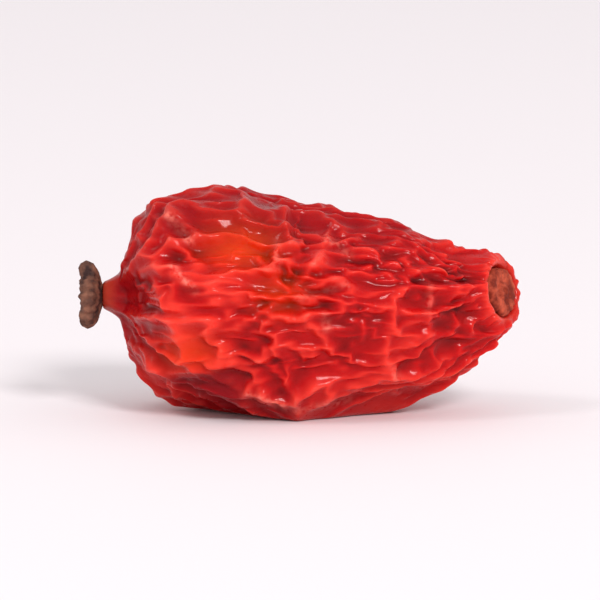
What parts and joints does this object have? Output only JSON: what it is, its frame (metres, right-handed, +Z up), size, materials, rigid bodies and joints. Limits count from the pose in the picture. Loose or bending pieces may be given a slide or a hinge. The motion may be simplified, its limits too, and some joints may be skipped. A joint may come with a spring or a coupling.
{
  "type": "dried barberry",
  "caption": "Wrinkled dried barberry lying on its side, with a dark stigma button on a short neck at one end and a corky stalk scar at the other.",
  "frame": {"origin": "on the surface that the berry lies on, under the middle of its box", "axes": "+X along the berry from the stigma end to the stalk end, +Y away from the front, +Z up"},
  "size_m": [0.0092, 0.0048, 0.0048],
  "materials": {
    "dried_skin": "thin translucent scarlet skin, wrinkled, with a soft gloss",
    "dried_stigma": "dry, dull grey-brown plant tissue",
    "corky_scar": "dull red-brown cork"
  },
  "bodies": {
    "root": {"fruit": "dried_skin", "stigma": "dried_stigma", "stalk_scar": "corky_scar"}
  },
  "joints": []
}
